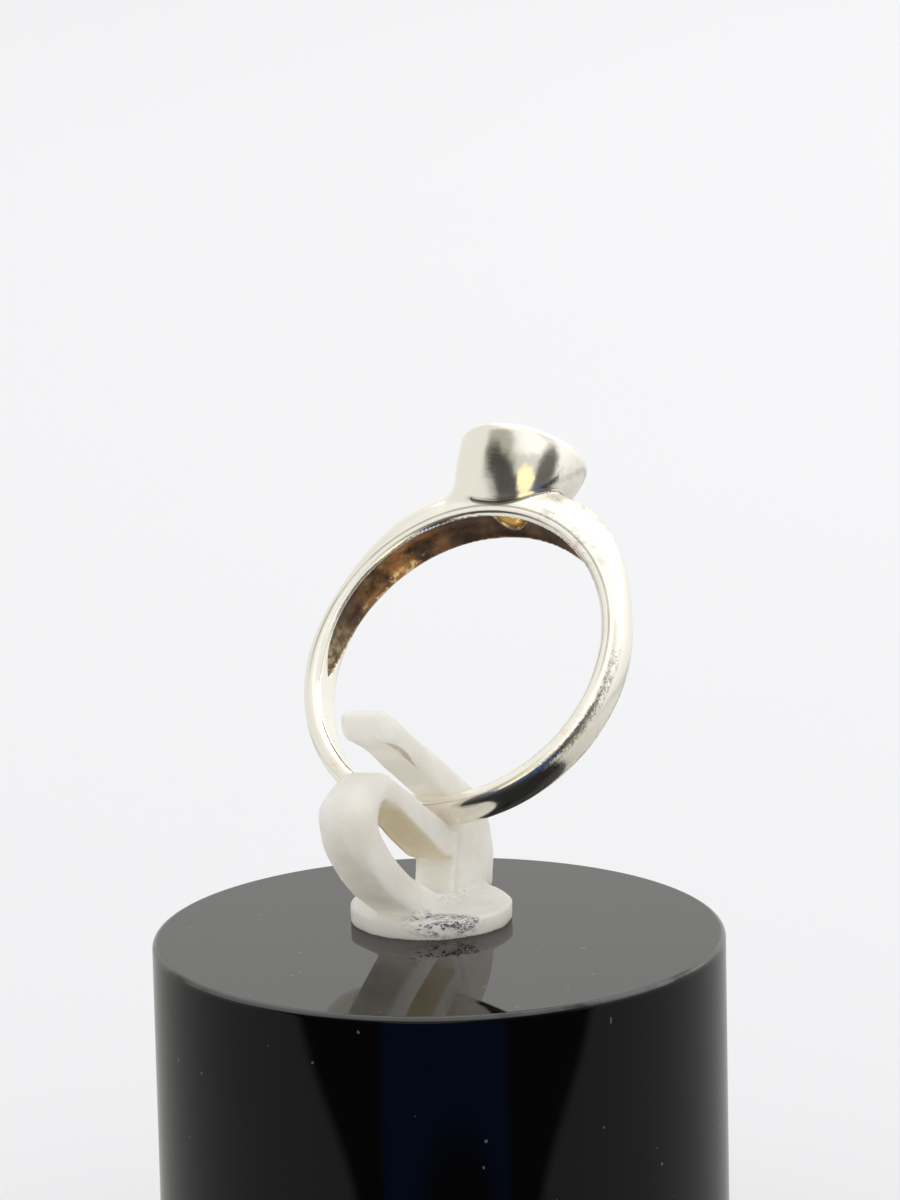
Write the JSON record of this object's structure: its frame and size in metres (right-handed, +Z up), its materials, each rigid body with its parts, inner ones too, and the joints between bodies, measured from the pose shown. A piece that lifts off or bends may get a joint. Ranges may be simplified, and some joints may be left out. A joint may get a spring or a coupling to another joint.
{
  "type": "gemstone ring on a display stand",
  "caption": "Silver ring with a round brilliant stone in a deep bezel cup, held by a clip on a round display pedestal.",
  "frame": {"origin": "centre of the pedestal's underside, on its axis", "axes": "+Z up along the pedestal's axis; the finger hole faces -Y and tilts up, and +X is to its right as seen from -Y"},
  "size_m": [0.0316, 0.0369, 0.0502],
  "materials": {
    "silver": "polished silver with fine scratches and brown tarnish in the hollow",
    "cubic_zirconia": "colourless, faceted and polished",
    "frosted_plastic": "frosted and translucent, with traces of glue",
    "black_acrylic": "polished black"
  },
  "bodies": {
    "root": {"ring": "silver", "stone": "cubic_zirconia", "ring_clip": "frosted_plastic", "pedestal": "black_acrylic"}
  },
  "joints": []
}
